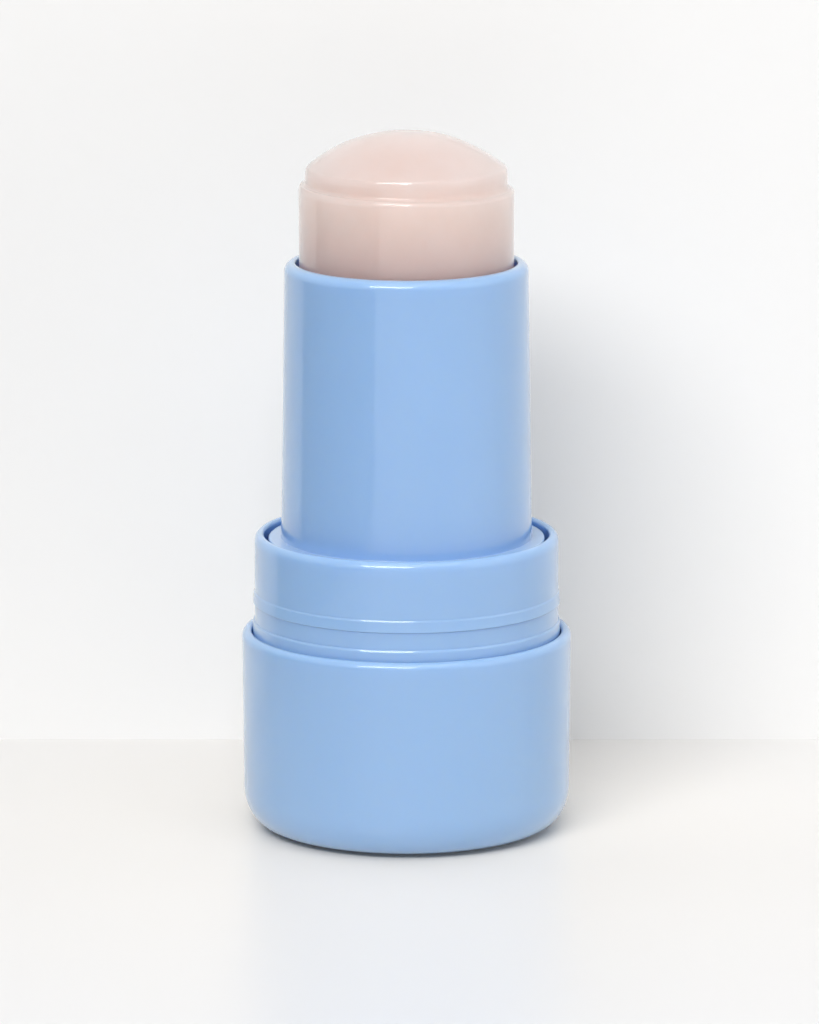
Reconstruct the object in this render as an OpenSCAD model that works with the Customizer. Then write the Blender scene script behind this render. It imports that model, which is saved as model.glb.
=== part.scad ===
// Twist-up balm stick: a domed balm in a flanged barrel that turns in a two-piece base.
// Millimetres, +Z up, origin at the centre of the underside. Shown as in use, partly wound up.

/* [Balm] */
// Diameter of the balm where it leaves the barrel
balm_d = 25.9; // [20:0.1:34]
// How much wider the balm is just under its shoulder, on the diameter
balm_flare = 0.04; // [0:0.02:0.4]
// Height of the shoulder above the barrel's rim
balm_show = 9.3; // [4:0.1:14]
// Width of the step from the shoulder in to the dome
balm_step_w = 0.8; // [0.3:0.05:2]
// Height of the upright wall between the shoulder and the dome
balm_step_h = 2.06; // [0.6:0.02:4]
// Height of the dome above that wall
dome_h = 4.42; // [2:0.02:8]
// How full the dome is towards its edge, where 2 is a parabola
dome_power = 2.2; // [2:0.1:3]
// Rounding of the shoulder's edge
balm_edge_round = 0.25; // [0.1:0.05:0.5]

/* [Barrel] */
// Gap between the balm and the barrel's bore
balm_gap = 0.39; // [0.3:0.01:1]
// Wall of the barrel at its rim
barrel_wall = 1.36; // [1.2:0.02:2.4]
// How much thicker the wall is at the foot
barrel_taper = 0.5; // [0.1:0.05:0.8]
// Height of the rim above the flange
barrel_rise = 33.7; // [28:0.1:50]
// Outer rounding of the rim
barrel_rim_round = 1.1; // [0.4:0.05:1.1]
// Width of the flange round the foot
flange_w = 1.54; // [1.2:0.02:3]
// Thickness of the flange
flange_t = 1.4; // [0.8:0.1:2.4]
// Small fillet where the tube meets the flange
foot_fillet = 0.1; // [0.05:0.05:0.6]
// Number of keyways along the bore
keyways = 4; // [2:1:6]
// Width of each keyway
keyway_w = 1.6; // [1.2:0.1:2.4]
// Depth of each keyway
keyway_depth = 0.45; // [0.3:0.05:0.7]

/* [Collar] */
// Gap between the flange and the collar
flange_gap = 0.51; // [0.3:0.01:0.9]
// How far the flange sits below the collar's rim
flange_drop = 0.5; // [0:0.05:0.8]
// Wall of the collar
collar_wall = 1.2; // [1:0.05:2]
// Height of the smooth cap seat, from the snap bead to the rim
seat_h = 6.95; // [5.8:0.05:12]
// Height of the snap bead
bead_h = 1.55; // [1:0.05:2.4]
// How far the snap bead stands proud of the seat
bead_proud = 0.22; // [0.1:0.02:0.4]
// How far the bead's upper edge stands proud, where its ramp starts
bead_lead = 0.1; // [0.02:0.02:0.1]
// Height of the groove below the snap bead
groove_h = 2.1; // [1:0.1:3]
// How far the land below the groove stands proud of the seat
land_proud = 0.2; // [0.1:0.02:0.4]
// Height of that land above the base shell's rim
land_show = 1.3; // [0.6:0.05:3]
// Outer rounding of the collar's rim
collar_rim_round = 0.75; // [0.3:0.05:0.9]
// Inner rounding of the collar's rim
collar_mouth_round = 0.4; // [0.1:0.05:0.6]
// Thickness of the collar's floor
collar_floor = 1.4; // [1.2:0.1:2.4]
// How far the retaining bead grips behind the barrel's snap ring
retain_grip = 0.35; // [0.2:0.05:0.5]

/* [Base shell] */
// Gap between the collar's land and the base shell's bore
shell_fit = 0.1; // [0.05:0.01:0.2]
// Wall of the base shell at its rim
shell_wall = 1.25; // [1.1:0.05:2]
// How much narrower the shell is at its foot, on the radius
shell_taper = 0.2; // [0:0.05:0.5]
// Height of the base shell, from the table to its rim
shell_h = 24.45; // [16:0.05:30]
// Thickness of the base shell's floor
shell_floor = 1.7; // [1.2:0.1:3]
// Outer rounding of the base shell's rim
shell_rim_round = 0.7; // [0.3:0.05:0.9]
// Inner rounding of the base shell's rim
shell_mouth_round = 0.45; // [0.1:0.05:0.7]
// Width of the rounded bottom corner
corner_w = 3.2; // [2:0.1:4]
// Height of the rounded bottom corner
corner_h = 4.6; // [3:0.1:6]
// Width of the flat ring that the base stands on
stand_ring_w = 2; // [1:0.1:4]
// Height of that ring, which lifts the shell's underside off the table
stand_h = 0.45; // [0.2:0.05:0.8]
// How far the ring is set in from the rounded corner
stand_inset = 1.6; // [0.4:0.1:3]

/* [Spindle and carrier] */
// Rise of the carrier for one full turn
thread_lead = 6; // [5:0.5:8]
// Radius of the spindle's core
core_r = 2.8; // [2.4:0.1:3.2]
// Height of the thread above the core
thread_depth = 1.3; // [0.9:0.1:1.5]
// Width of the thread at the core
thread_root_w = 2.4; // [2:0.1:2.8]
// Width of the thread at its crest
thread_crest_w = 1.3; // [0.8:0.1:1.6]
// Running clearance of the thread in its nut, along the axis
thread_gap = 0.18; // [0.12:0.02:0.3]
// Radial clearance of the thread in its nut
nut_gap = 0.25; // [0.15:0.05:0.4]
// How far the spindle's tip stays below the barrel's rim
tip_below_rim = 16.7; // [14:0.1:22]
// Across flats of the spindle's hexagonal foot
foot_af = 8; // [6:0.2:10]
// Depth of that foot in its socket
foot_depth = 2.6; // [2:0.1:3.4]
// Height of the socket's boss above the collar's floor
boss_h = 1.8; // [1.4:0.1:3]
// Thickness of the spindle's flange
spindle_flange_t = 0.8; // [0.6:0.1:1.5]
// Gap between the carrier's skirt and the bore
carrier_gap = 0.14; // [0.08:0.02:0.3]
// Wall of the carrier's cup
cup_wall = 1; // [0.8:0.05:1.4]
// Depth of the cup that holds the balm
cup_depth = 4.6; // [3:0.1:8]
// Thickness of the cup's floor
cup_floor = 1.4; // [1:0.1:2]
// Length of the nut below the cup's floor
nut_h = 6; // [5:0.1:9]
// Length of the guide skirt below the cup's floor
skirt_h = 4; // [2:0.1:5]
// Wall of the nut outside its thread
nut_wall = 1.4; // [1.2:0.1:2]
// How far the dome tucks below the rim when wound down
dome_tuck = 0.72; // [0.3:0.02:2]
// Length of thread that still holds the nut when wound up
nut_hold = 4.9; // [4:0.1:5]

/* [Hidden] */

$fn = 128;
arc_steps = 10;        // straight pieces in each rounded edge
dome_steps = 18;       // straight pieces in the dome's outline
thread_steps = 24;     // sections of the thread in each turn
run_gap = 0.3;         // clearance along the axis where one piece turns on another
seat_fit = 0.1;        // clearance round a piece that is seated in its own body
inner_round = 0.2;     // rounding of inner edges
overlap = 0.5;         // how far a cut or a joined block reaches past the surface

// Radii, from the balm outwards
balm_r = balm_d / 2;
shoulder_r = balm_r + balm_flare / 2;
dome_base_r = shoulder_r - balm_step_w;
bore_r = balm_r + balm_gap;
barrel_rim_r = bore_r + barrel_wall;
barrel_foot_r = barrel_rim_r + barrel_taper;
flange_r = barrel_foot_r + flange_w;
collar_bore_r = flange_r + flange_gap;
seat_r = collar_bore_r + collar_wall;
land_r = seat_r + land_proud;
bead_r = seat_r + bead_proud;
shell_bore_r = land_r + shell_fit;
shell_rim_r = shell_bore_r + shell_wall;
shell_foot_r = shell_rim_r - shell_taper;
corner_r = shell_foot_r - corner_w;
stand_r = corner_r - stand_inset;

// Heights, from the underside upwards
collar_bottom_z = stand_h + shell_floor;
collar_floor_z = collar_bottom_z + collar_floor;
boss_z = collar_floor_z + boss_h;
land_z = shell_h + land_show;
bead_z = land_z + groove_h;
seat_z = bead_z + bead_h;
collar_z = seat_z + seat_h;
flange_z = collar_z - flange_drop;
barrel_z = flange_z + barrel_rise;
barrel_foot_z = collar_floor_z + run_gap;
shoulder_z = barrel_z + balm_show;
dome_base_z = shoulder_z + balm_step_h;
apex_z = dome_base_z + dome_h;

// Rounded inner corners that follow the base shell's outer corner
shell_in_corner = [corner_w - 0.5, corner_h - 0.8];
collar_corner = [shell_in_corner[0] + seat_fit, shell_in_corner[1] + seat_fit];
collar_in_round = 1.8;

// Rounded edges that share a wall or a bead
collar_mouth = min(collar_mouth_round, collar_wall - collar_rim_round);
shell_mouth = min(shell_mouth_round, shell_wall - shell_rim_round);
bead_round = min(0.12, bead_proud / 2);
bead_shoulder = 0.2;

// Snap ring on the barrel, caught under the collar's retaining bead
snap_ring_r = collar_bore_r - 0.2;
snap_ring_h = 1.1;
retain_r = snap_ring_r - retain_grip;
retain_h = 1;
retain_z = flange_z - flange_t - 4;
snap_ring_z = retain_z - run_gap - snap_ring_h;

// Travel of the carrier from the position shown
travel_down = apex_z - barrel_z + dome_tuck;
spindle_flange_z = boss_z + spindle_flange_t;
nut_z = spindle_flange_z + run_gap + travel_down;
tip_z = barrel_z - tip_below_rim;
travel_up = tip_z - nut_hold - nut_z;

// Carrier
carrier_r = bore_r - carrier_gap;
cup_r = carrier_r - cup_wall;
cup_floor_z = nut_z + nut_h;
cup_seat_z = cup_floor_z + cup_floor;
cup_z = cup_seat_z + cup_depth;
skirt_z = cup_floor_z - skirt_h;
key_w = keyway_w - 2 * seat_fit;
key_out = keyway_depth - seat_fit;
keyway_top = cup_seat_z + travel_up + run_gap;

// Thread, its nut, the spindle's flange and its socket
crest_r = core_r + thread_depth;
nut_bore_r = core_r + nut_gap;
nut_crest_r = crest_r + nut_gap;
nut_r = nut_crest_r + nut_wall;
tip_chamfer = 0.6;
foot_r = foot_af / 2 / cos(30);
socket_r = foot_r + seat_fit;
spindle_flange_r = foot_r + 0.9;
boss_r = socket_r + 1.2;

// The balm's plug in the cup, and the hollow that the spindle reaches into
plug_r = cup_r - seat_fit;
hollow_r = crest_r + 0.6;
hollow_z = tip_z + travel_down + 0.8;

blue = [0.61, 0.74, 0.90];
white = [0.93, 0.93, 0.91];
pink = [0.92, 0.80, 0.77];

// Points of an elliptical arc about c with radii r, from angle a0 to a1
function arc(c, r, a0, a1, steps = arc_steps) =
    [for (i = [0:steps]) let (a = a0 + (a1 - a0) * i / steps) [c[0] + r[0] * cos(a), c[1] + r[1] * sin(a)]];

// Points of the dome's outline, from its edge to its middle
function dome() =
    [for (i = [0:dome_steps]) let (s = 1 - i / dome_steps)
        [dome_base_r * s, dome_base_z + dome_h * (1 - pow(s, dome_power))]];

// Half the thread's width at radius r
function thread_half_w(r) =
    (thread_crest_w + (thread_root_w - thread_crest_w) * (crest_r - r) / thread_depth) / 2;

// Helical rib between two heights. Its sections stand at multiples of one step, so that the
// spindle's thread and the nut's groove lie in phase
module helix(z_from, z_to, inner_r, outer_r, side_gap) {
    step = thread_lead / thread_steps;
    first = ceil(z_from / step);
    last = floor(z_to / step);
    w_in = thread_half_w(inner_r) + side_gap;
    w_out = thread_half_w(outer_r) + side_gap;
    section = [[inner_r, -w_in], [outer_r, -w_out], [outer_r, w_out], [inner_r, w_in]];
    points = [for (i = [first:last], p = section) let (a = 360 * i / thread_steps)
        [p[0] * cos(a), p[0] * sin(a), i * step + p[1]]];
    n = last - first;
    sides = [for (i = [0:n - 1], j = [0:3])
        let (a = 4 * i + j, b = 4 * i + (j + 1) % 4) each [[a, b, a + 4], [b, b + 4, a + 4]]];
    polyhedron(points, concat([[3, 2, 1, 0]], sides, [[4 * n, 4 * n + 1, 4 * n + 2, 4 * n + 3]]));
}

module base_shell() {
    color(blue) rotate_extrude() polygon(concat(
        [[0, stand_h], [stand_r - stand_ring_w, stand_h], [stand_r - stand_ring_w, 0]],
        [[stand_r, 0], [stand_r, stand_h]],
        arc([corner_r, stand_h + corner_h], [corner_w, corner_h], -90, 0),
        arc([shell_rim_r - shell_rim_round, shell_h - shell_rim_round],
            [shell_rim_round, shell_rim_round], 0, 90),
        arc([shell_bore_r + shell_mouth, shell_h - shell_mouth], [shell_mouth, shell_mouth], 90, 180),
        arc([shell_bore_r - shell_in_corner[0], collar_bottom_z + shell_in_corner[1]],
            shell_in_corner, 0, -90),
        [[0, collar_bottom_z]]
    ));
}

module collar() {
    color(blue) difference() {
        union() {
            rotate_extrude() polygon(concat(
                [[0, collar_bottom_z]],
                arc([land_r - collar_corner[0], collar_bottom_z + collar_corner[1]], collar_corner, -90, 0),
                arc([seat_r, land_z - land_proud], [land_proud, land_proud], 0, 90),
                [[seat_r, bead_z]],
                arc([bead_r - bead_round, bead_z + bead_round], [bead_round, bead_round], -90, 0),
                [[seat_r + bead_lead, seat_z - bead_shoulder], [seat_r, seat_z]],
                arc([seat_r - collar_rim_round, collar_z - collar_rim_round],
                    [collar_rim_round, collar_rim_round], 0, 90),
                arc([collar_bore_r + collar_mouth, collar_z - collar_mouth], [collar_mouth, collar_mouth], 90, 180),
                [[collar_bore_r, retain_z + retain_h + retain_grip]],
                [[retain_r, retain_z + retain_h]],
                [[retain_r, retain_z]],
                [[collar_bore_r, retain_z]],
                arc([collar_bore_r - collar_in_round, collar_floor_z + collar_in_round],
                    [collar_in_round, collar_in_round], 0, -90),
                [[0, collar_floor_z]]
            ));
            translate([0, 0, collar_bottom_z]) cylinder(r = boss_r, h = boss_z - collar_bottom_z);
        }
        translate([0, 0, boss_z - foot_depth]) cylinder(r = socket_r, h = foot_depth + overlap, $fn = 6);
    }
}

module spindle() {
    color(white) union() {
        translate([0, 0, boss_z - foot_depth]) cylinder(r = foot_r, h = foot_depth + spindle_flange_t / 2, $fn = 6);
        translate([0, 0, boss_z]) cylinder(r = spindle_flange_r, h = spindle_flange_t);
        translate([0, 0, boss_z]) cylinder(r = core_r, h = tip_z - tip_chamfer - boss_z);
        translate([0, 0, tip_z - tip_chamfer]) cylinder(r1 = core_r, r2 = core_r - tip_chamfer, h = tip_chamfer);
        helix(spindle_flange_z + thread_root_w / 2 + seat_fit, tip_z - tip_chamfer - thread_root_w / 2,
            core_r - overlap, crest_r, 0);
    }
}

module barrel() {
    color(blue) difference() {
        rotate_extrude() polygon(concat(
            [[bore_r, barrel_foot_z]],
            [[barrel_foot_r - inner_round, barrel_foot_z]],
            [[barrel_foot_r, barrel_foot_z + inner_round]],
            [[barrel_foot_r, snap_ring_z - (snap_ring_r - barrel_foot_r)]],
            [[snap_ring_r, snap_ring_z]],
            [[snap_ring_r, snap_ring_z + snap_ring_h]],
            [[barrel_foot_r, snap_ring_z + snap_ring_h]],
            [[barrel_foot_r, flange_z - flange_t]],
            [[flange_r - inner_round, flange_z - flange_t]],
            [[flange_r, flange_z - flange_t + inner_round]],
            arc([flange_r - inner_round, flange_z - inner_round], [inner_round, inner_round], 0, 90),
            arc([barrel_foot_r + foot_fillet, flange_z + foot_fillet], [foot_fillet, foot_fillet], -90, -180),
            arc([barrel_rim_r - barrel_rim_round, barrel_z - barrel_rim_round],
                [barrel_rim_round, barrel_rim_round], 0, 90),
            arc([bore_r + inner_round, barrel_z - inner_round], [inner_round, inner_round], 90, 180)
        ));
        for (i = [0:keyways - 1]) rotate(360 * i / keyways)
            translate([bore_r - overlap, -keyway_w / 2, barrel_foot_z - overlap])
                cube([overlap + keyway_depth, keyway_w, keyway_top - barrel_foot_z + overlap]);
    }
}

module carrier() {
    color(white) difference() {
        union() {
            rotate_extrude() polygon([
                [0, nut_z], [nut_r, nut_z], [nut_r, cup_floor_z],
                [cup_r, cup_floor_z], [cup_r, skirt_z], [carrier_r, skirt_z],
                [carrier_r, cup_z], [cup_r, cup_z], [cup_r, cup_seat_z], [0, cup_seat_z]
            ]);
            for (i = [0:keyways - 1]) rotate(360 * i / keyways)
                translate([carrier_r - overlap, -key_w / 2, skirt_z])
                    cube([overlap + carrier_gap + key_out, key_w, cup_seat_z - skirt_z]);
        }
        translate([0, 0, nut_z - overlap]) cylinder(r = nut_bore_r, h = nut_h + cup_floor + 2 * overlap);
        helix(nut_z - thread_lead / 2, cup_seat_z + thread_lead / 2, nut_bore_r - overlap, nut_crest_r, thread_gap);
    }
}

module balm() {
    color(pink) rotate_extrude() polygon(concat(
        [[hollow_r, cup_seat_z]],
        [[plug_r, cup_seat_z]],
        [[plug_r, cup_z + seat_fit]],
        [[balm_r, cup_z + seat_fit]],
        [[balm_r, barrel_z]],
        arc([shoulder_r - balm_edge_round, shoulder_z - balm_edge_round],
            [balm_edge_round, balm_edge_round], 0, 90, 6),
        [[dome_base_r, shoulder_z]],
        dome(),
        [[0, hollow_z]],
        [[hollow_r - 1, hollow_z]],
        [[hollow_r, hollow_z - 1]]
    ));
}

base_shell();
collar();
spindle();
barrel();
carrier();
balm();
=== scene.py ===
"""Looks of a twist-up balm stick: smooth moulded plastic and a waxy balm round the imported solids."""

import bmesh
import bpy
import numpy as np
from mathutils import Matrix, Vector


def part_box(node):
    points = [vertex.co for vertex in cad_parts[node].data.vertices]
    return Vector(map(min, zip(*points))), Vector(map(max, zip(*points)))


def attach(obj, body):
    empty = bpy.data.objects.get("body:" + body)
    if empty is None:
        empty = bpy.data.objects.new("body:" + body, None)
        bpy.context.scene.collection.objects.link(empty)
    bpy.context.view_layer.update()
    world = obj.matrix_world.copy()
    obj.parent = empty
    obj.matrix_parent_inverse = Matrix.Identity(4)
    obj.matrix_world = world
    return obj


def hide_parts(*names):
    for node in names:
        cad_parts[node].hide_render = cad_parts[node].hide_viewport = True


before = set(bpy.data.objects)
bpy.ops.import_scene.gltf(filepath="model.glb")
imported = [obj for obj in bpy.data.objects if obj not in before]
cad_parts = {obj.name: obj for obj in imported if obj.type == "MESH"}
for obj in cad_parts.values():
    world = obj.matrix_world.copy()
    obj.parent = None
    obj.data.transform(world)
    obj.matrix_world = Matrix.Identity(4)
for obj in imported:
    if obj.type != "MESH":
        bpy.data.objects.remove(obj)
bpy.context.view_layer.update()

MM = 0.001

# Radii in millimetres, from the axis outwards
SOCKET_R = 4.66
THREAD_HOLLOW_R = 4.7
SOCKET_BOSS_R = 5.92
PLUG_R = 12.1
DOME_BASE_R = 12.17
BALM_R = 12.95
SHOULDER_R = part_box("balm")[1].x / MM
STAND_IN_R = 13.0
BORE_R = 13.34
KEYWAY_R = 13.79
BARREL_RIM_R = 14.7
STAND_OUT_R = 15.0
BARREL_FOOT_R = 15.2
RETAIN_R = 16.7
FLANGE_R = 16.74
SNAP_RING_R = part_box("barrel")[1].x / MM
COLLAR_BORE_R = 17.25
SEAT_R = 18.45
LAND_R = 18.65
BEAD_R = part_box("collar")[1].x / MM
SHELL_BORE_R = 18.75
SHELL_RIM_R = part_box("base_shell")[1].x / MM
SHELL_FOOT_R = 19.8

# Heights in millimetres, from the table upwards
UNDERSIDE = 0.45
COLLAR_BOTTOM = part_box("collar")[0].z / MM
COLLAR_FLOOR = COLLAR_BOTTOM + 1.4
BARREL_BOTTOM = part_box("barrel")[0].z / MM
SOCKET_BOSS = COLLAR_FLOOR + 1.8
SOCKET_FLOOR = SOCKET_BOSS - 2.6
SHELL_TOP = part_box("base_shell")[1].z / MM
LAND_TOP = SHELL_TOP + 1.3
BEAD_BOTTOM = LAND_TOP + 2.1
BEAD_TOP = BEAD_BOTTOM + 1.55
COLLAR_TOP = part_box("collar")[1].z / MM
FLANGE_TOP = COLLAR_TOP - 0.5
FLANGE_BOTTOM = FLANGE_TOP - 1.4
RETAIN_BOTTOM = FLANGE_BOTTOM - 4
RETAIN_TOP = RETAIN_BOTTOM + 1
RETAIN_RAMP_TOP = RETAIN_TOP + 0.55
SNAP_RING_TOP = RETAIN_BOTTOM - 0.3
SNAP_RING_BOTTOM = SNAP_RING_TOP - 1.1
SNAP_RAMP_BOTTOM = SNAP_RING_BOTTOM - 1.85
KEYWAY_TOP = 55.65
BARREL_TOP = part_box("barrel")[1].z / MM
CUP_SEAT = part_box("balm")[0].z / MM
CUP_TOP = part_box("carrier")[1].z / MM
HOLLOW_TOP = BARREL_TOP + 0.6
SHOULDER = BARREL_TOP + 9.3
DOME_BASE = SHOULDER + 2.06
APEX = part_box("balm")[1].z / MM

# Other sizes in millimetres
CHAMFER_IN = 0.1       # the slim slopes on top of the land and the bead: how far they go inwards
CHAMFER_H = 0.22       # and how high they are
BEAD_LEAD = 0.1        # height of the slope under the bead
KEYWAY_HALF = 0.8      # half the width of a keyway
KEYWAY_LIP = 0.02      # half the height of the wall that closes a keyway
LEDGE_LEAN = 0.2       # how far the balm's step sinks on the right and rises on the left
EDGE_WEAR = 0.12       # how far the step's edge is worn down all round
EDGE_WEAR_SIDE = 0.15  # and how much more, or less, from side to side
FLANK_FULL = 0.07      # how much fuller the dome is on the left

DOME_POWER = 2.2       # the dome's height falls with this power of the radius
KEYWAYS = 4            # keyways round the bore
RING_STEPS = 288       # faces round the axis
CORNER_STEPS = 10      # faces across one rounded corner
SUPPORT = 0.12         # millimetres from a corner to the edge loop that holds its wall flat
MERGE = 1e-8           # metres within which points are merged
PAINTED_TINT_REACH = 0.05      # metres over which the stage's painted light, a warmer tone near the stick (on the table also lighter), fades
BLUE = (150, 186, 229)


def outline(corners, closed):
    """Profile with each corner rounded. A corner is given as (r, z, a, b), or as (r, z, a) where b
    is the same. The corner V, whose sides run along u and then w, is replaced by
    V - a u (1 - sin t) + b w (1 - cos t) for t from 0 to a right angle, which leaves the first
    side a before V and meets the second b after it. One more point on each side, a little further
    out, keeps the wall beside it flat under smooth shading."""
    rows = np.array([c if len(c) == 4 else (*c, c[2]) for c in corners], float)
    v = rows[:, :2]
    a, b = rows[:, 2:3], rows[:, 3:4]
    side = np.roll(v, -1, 0) - v
    length = np.maximum(np.linalg.norm(side, axis=1, keepdims=True), 1e-9)
    w = side / length
    u = np.roll(w, 1, 0)
    spare = length - b - np.roll(a, -1, 0)
    hold_after = np.minimum(SUPPORT, 0.3 * spare)
    hold_before = np.roll(hold_after, 1, 0)
    t = np.linspace(0, np.pi / 2, CORNER_STEPS + 1)[None, :, None]
    arc = v[:, None] - (a * u)[:, None] * (1 - np.sin(t)) + (b * w)[:, None] * (1 - np.cos(t))
    first = (v - (a + hold_before) * u)[:, None]
    last = (v + (b + hold_after) * w)[:, None]
    bands = np.concatenate([first, arc, last], 1)
    if closed:
        return bands.reshape(-1, 2)
    return np.vstack([v[:1], bands[1:-1].reshape(-1, 2), v[-1:]])


def lathe(name, profile, closed, angles=None, shift=None):
    """Surface of revolution: the point at profile row (r, z) and angle q is (r cos q, r sin q, z).
    shift(r, z, q) gives changes to r and z. A closed profile's last row joins its first, and the
    rows of an open one that lie on the axis shrink to a pole."""
    q = np.linspace(0, 2 * np.pi, RING_STEPS, endpoint=False) if angles is None else angles
    turn, r = np.meshgrid(q, profile[:, 0])
    z = np.repeat(profile[:, 1:], len(q), 1)
    if shift is not None:
        dr, dz = shift(r, z, turn)
        r, z = r + dr, z + dz
    points = np.stack([r * np.cos(turn), r * np.sin(turn), z], -1) * MM
    index = np.arange(r.size).reshape(r.shape)
    index = np.vstack([index, index[:1]]) if closed else index
    index = np.hstack([index, index[:, :1]])
    quads = np.stack([index[:-1, :-1], index[:-1, 1:], index[1:, 1:], index[1:, :-1]], -1)
    mesh = bpy.data.meshes.new(name)
    mesh.from_pydata(points.reshape(-1, 3).tolist(), [], quads.reshape(-1, 4).tolist())
    return finished(name, mesh)


def finished(name, mesh):
    """Links a mesh as a smooth piece, with the points that lie on each other merged."""
    work = bmesh.new()
    work.from_mesh(mesh)
    bmesh.ops.remove_doubles(work, verts=work.verts, dist=MERGE)
    work.to_mesh(mesh)
    work.free()
    mesh.polygons.foreach_set("use_smooth", np.ones(len(mesh.polygons), bool))
    mesh.update()
    piece = bpy.data.objects.new(name, mesh)
    bpy.context.scene.collection.objects.link(piece)
    return piece


def dress(piece, body, slot, material, *nodes):
    """Gives a piece its material, the body that it rides on and the solids that it stands for."""
    piece.data.materials.append(material)
    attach(piece, body)
    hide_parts(*nodes)


class Socket:
    """One output of a node tree. Arithmetic on it adds Math nodes."""

    def __init__(self, nodes, link):
        self.nodes = nodes
        self.link = link

    def math(self, operation, *values):
        return self.nodes.math(operation, *values)

    def __add__(self, other):
        return self.math("ADD", self, other)

    def __sub__(self, other):
        return self.math("SUBTRACT", self, other)

    def __mul__(self, other):
        return self.math("MULTIPLY", self, other)

    __radd__ = __add__
    __rmul__ = __mul__


class Nodes:
    """A node tree and the few calls that build it."""

    def __init__(self, tree):
        self.tree = tree

    def add(self, kind, settings=None, inputs=None, output=0):
        """Adds one node: its settings first, then the values or links of its sockets."""
        node = self.tree.nodes.new(kind)
        for key, value in (settings or {}).items():
            setattr(node, key, value)
        self.feed(node, inputs or {})
        return Socket(self, node.outputs[output])

    def feed(self, node, inputs):
        """Sets or links sockets, by name or number."""
        for key, value in inputs.items():
            if isinstance(value, Socket):
                self.tree.links.new(value.link, node.inputs[key])
            else:
                node.inputs[key].default_value = value

    def seen_or_mirrored(self):
        """One for a ray that comes from the camera, a gloss or a clear surface, and else zero."""
        kinds = ("Is Camera Ray", "Is Glossy Ray", "Is Transmission Ray")
        camera_ray, mirror_ray, clear_ray = (
            self.add("ShaderNodeLightPath", output=kind) for kind in kinds
        )
        return self.math("MAXIMUM", camera_ray, mirror_ray + clear_ray)

    def math(self, operation, *values):
        return self.add("ShaderNodeMath", {"operation": operation}, dict(enumerate(values)))

    def noise(self, scale, detail=2.0, roughness=0.5):
        """Noise over the piece's own coordinates, from 0 to 1."""
        place = self.add("ShaderNodeTexCoord", output="Object")
        sizes = {"Vector": place, "Scale": scale, "Detail": detail, "Roughness": roughness}
        return self.add("ShaderNodeTexNoise", inputs=sizes)

    def blend(self, factor, low, high):
        """Colour between low and high."""
        ends = {0: factor, 6: low, 7: high}
        return self.add("ShaderNodeMix", {"data_type": "RGBA"}, ends, output=2)

    def rise(self, height, low, high):
        """Smooth change from 0 to 1 while the height goes from low to high, both in millimetres."""
        ends = {"Value": height, "From Min": low * MM, "From Max": high * MM}
        return self.add("ShaderNodeMapRange", {"interpolation_type": "SMOOTHSTEP"}, ends)

    def bump(self, height, distance, strength):
        """Relief of the skin: its depth in metres and how strongly it shows."""
        sizes = {"Height": height, "Distance": distance, "Strength": strength}
        return self.add("ShaderNodeBump", inputs=sizes)


class Finish(Nodes):
    """A material round one Principled shader."""

    def __init__(self, name):
        self.material = bpy.data.materials.new(name)
        self.material.use_nodes = True
        super().__init__(self.material.node_tree)
        self.shader = self.tree.nodes["Principled BSDF"]
        self.output = self.tree.nodes["Material Output"]

    def surface(self, inputs):
        self.feed(self.shader, inputs)
        return self.material


def colour(red, green, blue):
    """Linear colour of an sRGB one given from 0 to 255."""
    s = np.array([red, green, blue]) / 255
    linear = np.where(s <= 0.04045, s / 12.92, ((s + 0.055) / 1.055) ** 2.4)
    return (*linear.tolist(), 1.0)


def gloss_plastic(name, tone):
    """Moulded gloss plastic: an even light blue with faint flow clouds. A clear sharp gloss lies
    over a softer sheen, and the skin is very slightly wavy."""
    f = Finish(name)
    clouds = f.noise(60, 2.0)
    skin = f.noise(900, 2.0)
    spread = 2
    low = colour(*(c - spread for c in tone))
    high = colour(*(c + spread for c in tone))
    return f.surface({
        "Base Color": f.blend(clouds, low, high),
        "Roughness": 0.34 + 0.06 * clouds,
        "IOR": 1.5,
        "Specular IOR Level": 0.2,
        "Coat Weight": 1.0,
        "Coat Roughness": 0.02,
        "Coat IOR": 1.45,
        "Subsurface Weight": 0.6,
        "Subsurface Radius": (0.6, 0.8, 1.0),
        "Subsurface Scale": 0.002,
        "Normal": f.bump(skin, 0.00002, 0.25),
    })


def natural_plastic(name):
    """Uncoloured satin plastic of the mechanism, slightly milky."""
    f = Finish(name)
    grain = f.noise(1500, 3.0)
    return f.surface({
        "Base Color": f.blend(grain, colour(232, 232, 226), colour(240, 240, 235)),
        "Roughness": 0.35 + 0.1 * grain,
        "Subsurface Weight": 0.3,
        "Subsurface Radius": (1.0, 1.0, 0.9),
        "Subsurface Scale": 0.001,
        "Normal": f.bump(grain, 0.00003, 0.3),
    })


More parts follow.
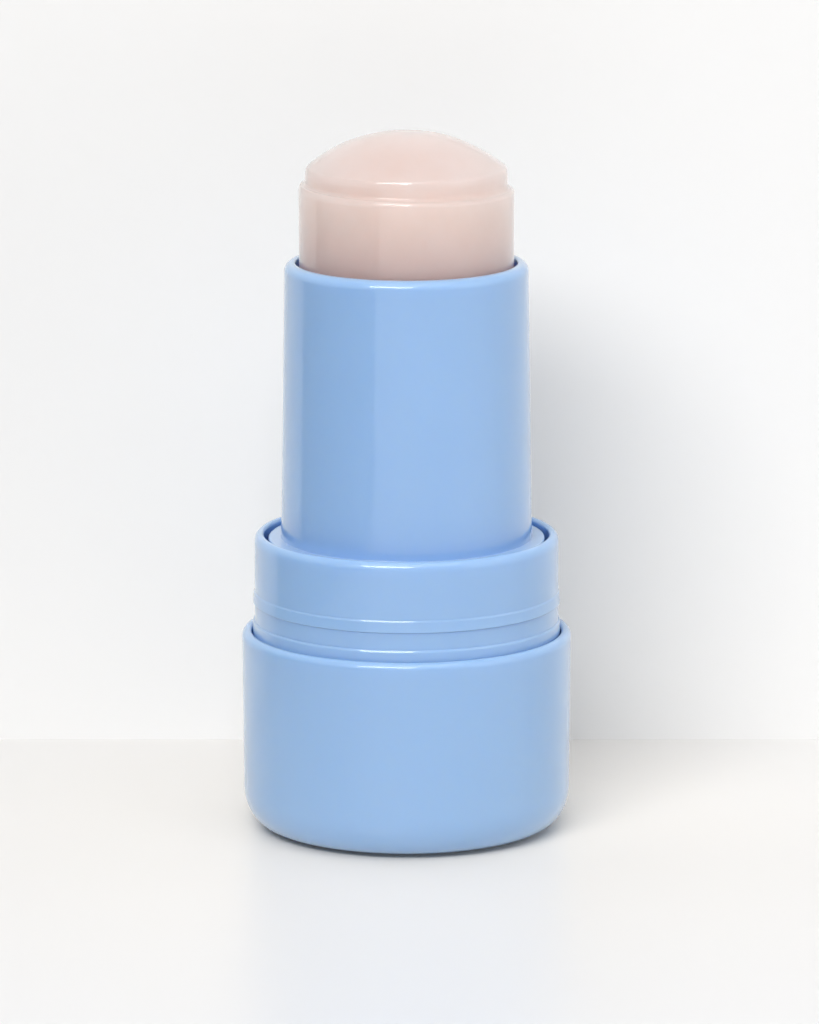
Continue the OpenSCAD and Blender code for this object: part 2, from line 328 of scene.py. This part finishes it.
def waxy_balm(name):
    """Poured wax and oil: light goes deep into it, with pale clouds and a faintly pitted skin. Shade
    is painted into its colour: a deeper tone low down, where less light comes in past the barrel's
    rim, and a little deeper again on the dome, as painted shade against the stronger light that falls
    on it from above."""
    f = Finish(name)
    clouds = f.noise(140, 3.0, 0.55)
    pits = f.noise(1800, 3.0)
    place = f.add("ShaderNodeTexCoord", output="Object")
    height = f.add("ShaderNodeSeparateXYZ", inputs={"Vector": place}, output="Z")
    # Painted shade low down: this factor rises from 0 by the barrel's rim, where the deep tone is
    # used, to 1 higher up.
    lit = f.rise(height, BARREL_TOP - 5, BARREL_TOP + 8)
    dome_shade = f.rise(height, SHOULDER - 1.5, SHOULDER + 3.5)
    side = f.blend(clouds, colour(212, 189, 180), colour(219, 201, 196))
    # Painted shade on the dome: above the step these deeper top tones take over from the side's.
    top = f.blend(clouds, colour(200, 177, 169), colour(206, 190, 187))
    # Painted shade by the barrel's rim, where less light comes in.
    deep = colour(212, 176, 170)
    return f.surface({
        "Base Color": f.blend(lit, deep, f.blend(dome_shade, side, top)),
        "Roughness": 0.4 + 0.1 * clouds,
        "IOR": 1.44,
        "Specular IOR Level": 0.1,
        "Coat Weight": 1.0,
        "Coat Roughness": 0.03,
        "Coat IOR": 1.45,
        "Sheen Weight": 0.1,
        "Sheen Roughness": 0.4,
        "Subsurface Weight": 1.0,
        "Subsurface Radius": (0.85, 0.72, 0.68),
        "Subsurface Scale": 0.03,
        "Normal": f.bump(pits, 0.00003, 0.3),
    })


def base_shell(material):
    """Wide cup of the base: a stand ring below, a deep rounded corner and a rounded rim."""
    profile = outline([
        (0, UNDERSIDE, 0),
        (STAND_IN_R, UNDERSIDE, 0.1),
        (STAND_IN_R, 0, 0.1),
        (STAND_OUT_R, 0, 0.1),
        (STAND_OUT_R, UNDERSIDE, 0.1),
        (SHELL_FOOT_R, UNDERSIDE, 3.2, 4.6),
        (SHELL_RIM_R, SHELL_TOP, 0.9, 0.72),
        (SHELL_BORE_R, SHELL_TOP, 0.4, 0.45),
        (SHELL_BORE_R, COLLAR_BOTTOM, 3.4, 2.2),
        (0, COLLAR_BOTTOM, 0),
    ], closed=False)
    piece = lathe("moulded_base", profile, closed=False)
    dress(piece, "base", "base_plastic", material, "base_shell")


def collar(material):
    """Inner cup of the base: the land, groove and snap bead outside, the retaining bead and the
    spindle's socket inside."""
    profile = outline([
        (0, COLLAR_BOTTOM, 0),
        (LAND_R, COLLAR_BOTTOM, 2.3, 3.5),
        (LAND_R, LAND_TOP - CHAMFER_H, 0.05),
        (LAND_R - CHAMFER_IN, LAND_TOP, 0.04),
        (SEAT_R, LAND_TOP, 0.03, 0.05),
        (SEAT_R, BEAD_BOTTOM, 0.05),
        (BEAD_R, BEAD_BOTTOM + BEAD_LEAD, 0.05, 0.12),
        (SEAT_R + CHAMFER_IN, BEAD_TOP - CHAMFER_H, 0.06),
        (SEAT_R, BEAD_TOP, 0.05),
        (SEAT_R, COLLAR_TOP, 1.1, 0.74),
        (COLLAR_BORE_R, COLLAR_TOP, 0.38, 0.4),
        (COLLAR_BORE_R, RETAIN_RAMP_TOP, 0.1),
        (RETAIN_R, RETAIN_TOP, 0.1),
        (RETAIN_R, RETAIN_BOTTOM, 0.1),
        (COLLAR_BORE_R, RETAIN_BOTTOM, 0.1),
        (COLLAR_BORE_R, COLLAR_FLOOR, 1.8),
        (SOCKET_BOSS_R, COLLAR_FLOOR, 0.1),
        (SOCKET_BOSS_R, SOCKET_BOSS, 0.1),
        (SOCKET_R, SOCKET_BOSS, 0.1),
        (SOCKET_R, SOCKET_FLOOR, 0.1),
        (0, SOCKET_FLOOR, 0),
    ], closed=False)
    piece = lathe("moulded_collar", profile, closed=False)
    dress(piece, "base", "collar_plastic", material, "collar")


def barrel(material):
    """Tube with its rounded rim, foot flange and snap ring. Four keyways run up the bore: there the
    radius grows by the keyway's depth wherever the angle is within half its width."""
    profile = outline([
        (BORE_R, BARREL_BOTTOM, 0.1),
        (BARREL_FOOT_R, BARREL_BOTTOM, 0.2),
        (BARREL_FOOT_R, SNAP_RAMP_BOTTOM, 0.2),
        (SNAP_RING_R, SNAP_RING_BOTTOM, 0.1),
        (SNAP_RING_R, SNAP_RING_TOP, 0.1),
        (BARREL_FOOT_R, SNAP_RING_TOP, 0.1),
        (BARREL_FOOT_R, FLANGE_BOTTOM, 0.1),
        (FLANGE_R, FLANGE_BOTTOM, 0.2),
        (FLANGE_R, FLANGE_TOP, 0.22),
        (BARREL_FOOT_R, FLANGE_TOP, 0.1),
        (BARREL_RIM_R, BARREL_TOP, 1.1, 1.05),
        (BORE_R, BARREL_TOP, 0.22, 0.25),
        (BORE_R, KEYWAY_TOP + KEYWAY_LIP, 0.005),
        (BORE_R, KEYWAY_TOP - KEYWAY_LIP, 0.005),
    ], closed=True)
    half = KEYWAY_HALF / BORE_R
    pitch = 2 * np.pi / KEYWAYS
    slant = 0.001
    bore_depth = 0.11
    edge = np.array([-half - slant, -half + slant, half - slant, half + slant])
    centres = np.arange(KEYWAYS) * pitch
    even = np.linspace(0, 2 * np.pi, RING_STEPS, endpoint=False)
    angles = np.unique(np.concatenate([even, ((centres[:, None] + edge) % (2 * np.pi)).ravel()]))

    def keyways(r, z, q):
        off = np.abs((q + pitch / 2) % pitch - pitch / 2)
        inside = (off < half) & (z < KEYWAY_TOP) & (np.abs(r - BORE_R) < bore_depth)
        return np.where(inside, KEYWAY_R - BORE_R, 0.0), 0 * z

    piece = lathe("moulded_barrel", profile, closed=True, angles=angles, shift=keyways)
    dress(piece, "barrel", "barrel_plastic", material, "barrel")


def balm(material):
    """Poured stick: a plug in the carrier's cup, an upright side, a step, and a dome. With s from 1
    at the dome's edge to 0 at its middle, the radius is R s and the height H (1 - s^DOME_POWER).
    The step's ledge leans, its edge is worn down a little more on the right, and the dome is
    fuller on the left."""
    s = np.linspace(0.97, 0, 60)
    dome_height = APEX - DOME_BASE
    dome = np.stack([DOME_BASE_R * s, DOME_BASE + dome_height * (1 - s**DOME_POWER)], -1)
    side = outline([
        (0, HOLLOW_TOP, 0),
        (THREAD_HOLLOW_R, HOLLOW_TOP, 0.8),
        (THREAD_HOLLOW_R, CUP_SEAT, 0.1),
        (PLUG_R, CUP_SEAT, 0.1),
        (PLUG_R, CUP_TOP + 0.1, 0.03),
        (BALM_R, CUP_TOP + 0.1, 0.1),
        (BALM_R, BARREL_TOP, 1.0),
        (SHOULDER_R, SHOULDER - 0.1, 0.75, 0.34),
        (DOME_BASE_R, SHOULDER, 0.4, 0.45),
        (DOME_BASE_R, DOME_BASE, 0.8, 0.35),
        tuple(dome[0]) + (0,),
    ], closed=False)
    profile = np.vstack([side[:-1], dome])

    def worn(r, z, q):
        ledge = np.exp(-(((z - SHOULDER) / 0.5) ** 2)) * np.clip((r - 11.9) / 0.4, 0, 1)
        edge = ledge * np.clip((r - DOME_BASE_R) / (SHOULDER_R - DOME_BASE_R), 0, 1)
        flank = np.exp(-(((r - 8.5) / 2.2) ** 2)) * np.clip((z - DOME_BASE) / 0.5, 0, 1)
        wear = EDGE_WEAR * edge
        tilt = LEDGE_LEAN * ledge + EDGE_WEAR_SIDE * edge + FLANK_FULL * flank
        show = np.clip((z - BARREL_TOP + 2) / 2, 0, 1) * np.clip(r / 6, 0, 1)
        ripple = np.sin(3 * q + 0.31 * z) * 0.012 + np.sin(7 * q - 0.9 * z + 1.1) * 0.006
        return show * ripple, -wear - tilt * np.cos(q)

    piece = lathe("poured_balm", profile, closed=False, shift=worn)
    dress(piece, "carriage", "balm", material, "balm")


def mechanism(material):
    """The spindle and the carrier keep their solids and take the natural plastic."""
    for node in ("spindle", "carrier"):
        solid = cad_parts[node]
        solid.data.materials.clear()
        solid.data.materials.append(material)


def sheet_of(name, origin, across, up, material):
    """Flat stage surface with its front on the side that across x up points to."""
    o, a, u = (np.array(p, float) for p in (origin, across, up))
    corners = np.stack([o, o + a, o + a + u, o + u])
    mesh = bpy.data.meshes.new(name)
    mesh.from_pydata(corners.tolist(), [], [[0, 1, 2, 3]])
    mesh.materials.append(material)
    piece = bpy.data.objects.new(name, mesh)
    bpy.context.scene.collection.objects.link(piece)
    return piece


def stage_paint(name, tone, painted_near_tone, roughness, gloss, lift):
    """Pale painted stage surface, lifted a little where it is seen or mirrored. Light is painted into
    it near the stick: a warmer tone there, on the table also a lighter one, against the blue light
    that comes off the stick and the shade round it. Its share falls by e over each length of the
    tint's reach from the stick. It can't be seen from behind, so that it never hides the stick."""
    f = Finish(name)
    camera_ray = f.add("ShaderNodeLightPath", output="Is Camera Ray")
    glow = f.add("ShaderNodeEmission", inputs={"Strength": lift * f.seen_or_mirrored()})
    place = f.add("ShaderNodeTexCoord", output="Object")
    x, y, z = (f.add("ShaderNodeSeparateXYZ", inputs={"Vector": place}, output=k) for k in "XYZ")
    # Painted light near the stick: the share of the second tone is 1 at the stick's rim and fades with
    # distance.
    above = f.math("MAXIMUM", z - BARREL_TOP * MM, 0.0)
    gap = f.math("SQRT", x * x + y * y + above * above) - SHELL_RIM_R * MM
    near = f.math("MINIMUM", f.math("EXPONENT", gap * (-1 / PAINTED_TINT_REACH)), 1.0)
    f.surface({
        "Base Color": f.blend(near, colour(*tone), colour(*painted_near_tone)),
        "Roughness": roughness,
        "Specular IOR Level": gloss,
    })
    back = f.add("ShaderNodeNewGeometry", output="Backfacing")
    clear = f.add("ShaderNodeBsdfTransparent")
    painted = f.add("ShaderNodeAddShader", inputs={0: Socket(f, f.shader.outputs[0]), 1: glow})
    seen = f.add("ShaderNodeMixShader", inputs={0: camera_ray * back, 1: painted, 2: clear})
    f.feed(f.output, {"Surface": seen})
    return f.material


def stage():
    """Pale table, the wall close behind the stick, and a dark card on the left for the gloss to
    mirror."""
    wall_y, reach = 0.0435, 1.5
    card_x, card_length, card_height = -0.135, 0.29, 0.065
    # The second tone of each is painted light near the stick: slightly warmer on the wall, warmer and
    # lighter on the table.
    wall = stage_paint(
        "wall_paint", (238, 237, 236), (238, 237, 234), roughness=0.9, gloss=0.1, lift=0.07
    )
    table = stage_paint(
        "table_paint", (220, 221, 223), (241, 235, 226), roughness=0.32, gloss=0.4, lift=0.04
    )
    sheet_of("wall", (-reach, wall_y, 0), (2 * reach, 0, 0), (0, 0, reach), wall)
    sheet_of("table", (-reach, -reach, 0), (2 * reach, 0, 0), (0, reach + wall_y, 0), table)
    black = Finish("card_paint").surface({"Base Color": colour(30, 30, 32), "Roughness": 0.9})
    corner, length, height = (card_x, wall_y, 0), (0, -card_length, 0), (0, 0, card_height)
    card = sheet_of("dark_card", corner, length, height, black)
    card.visible_camera = False


def lamp(name, azimuth, elevation, distance, size, power):
    """Soft lamp that looks at the middle of the stick, with its distance and size in metres.
    Azimuth 0 is the camera's side, and grows to the right."""
    middle = np.array([0, 0, 0.04])
    a, e = np.radians(azimuth), np.radians(elevation)
    way = np.array([np.sin(a) * np.cos(e), -np.cos(a) * np.cos(e), np.sin(e)])
    data = bpy.data.lights.new(name, "AREA")
    data.shape = "RECTANGLE"
    data.size, data.size_y = size
    data.energy = power
    item = bpy.data.objects.new(name, data)
    item.location = middle + way * distance
    item.rotation_mode = "QUATERNION"
    item.rotation_quaternion = Vector(way.tolist()).to_track_quat("Z", "Y")
    bpy.context.scene.collection.objects.link(item)


def lighting():
    """Front left softbox, a broad weak light on the right, one high in front, and a dim even room
    that is paler where the camera or a gloss sees it."""
    distance = 1.4
    lamp("softbox", -16, 38, distance, (0.9, 0.36), 12.8)
    lamp("window", 70, 25, distance, (1.1, 1.0), 3.3)
    lamp("overhead", 8, 62, distance, (1.4, 1.0), 7.4)
    world = bpy.data.worlds.new("room")
    world.use_nodes = True
    bpy.context.scene.world = world
    n = Nodes(world.node_tree)
    dim, pale = 0.03, 0.92
    strength = dim + (pale - dim) * n.seen_or_mirrored()
    n.feed(world.node_tree.nodes["Background"], {"Color": (1, 1, 1, 1), "Strength": strength})


def camera():
    """Camera as fitted to the photograph: its height, its downward tilt and its long lens."""
    distance, tilt, aim_z, off_axis = 0.85, np.radians(11.7), 0.0388, 0.00036
    lens, sensor = 246.8, 36
    data = bpy.data.cameras.new("camera")
    data.lens = lens
    data.sensor_width = sensor
    item = bpy.data.objects.new("camera", data)
    item.location = (off_axis, -distance * np.cos(tilt), aim_z + distance * np.sin(tilt))
    item.rotation_euler = (np.pi / 2 - tilt, 0, 0)
    bpy.context.scene.collection.objects.link(item)
    bpy.context.scene.camera = item


blue = gloss_plastic("light_blue_gloss", BLUE)
base_shell(blue)
collar(blue)
barrel(blue)
balm(waxy_balm("pink_balm"))
mechanism(natural_plastic("natural_satin"))
stage()
lighting()
camera()
bpy.context.scene.view_settings.view_transform = "Standard"
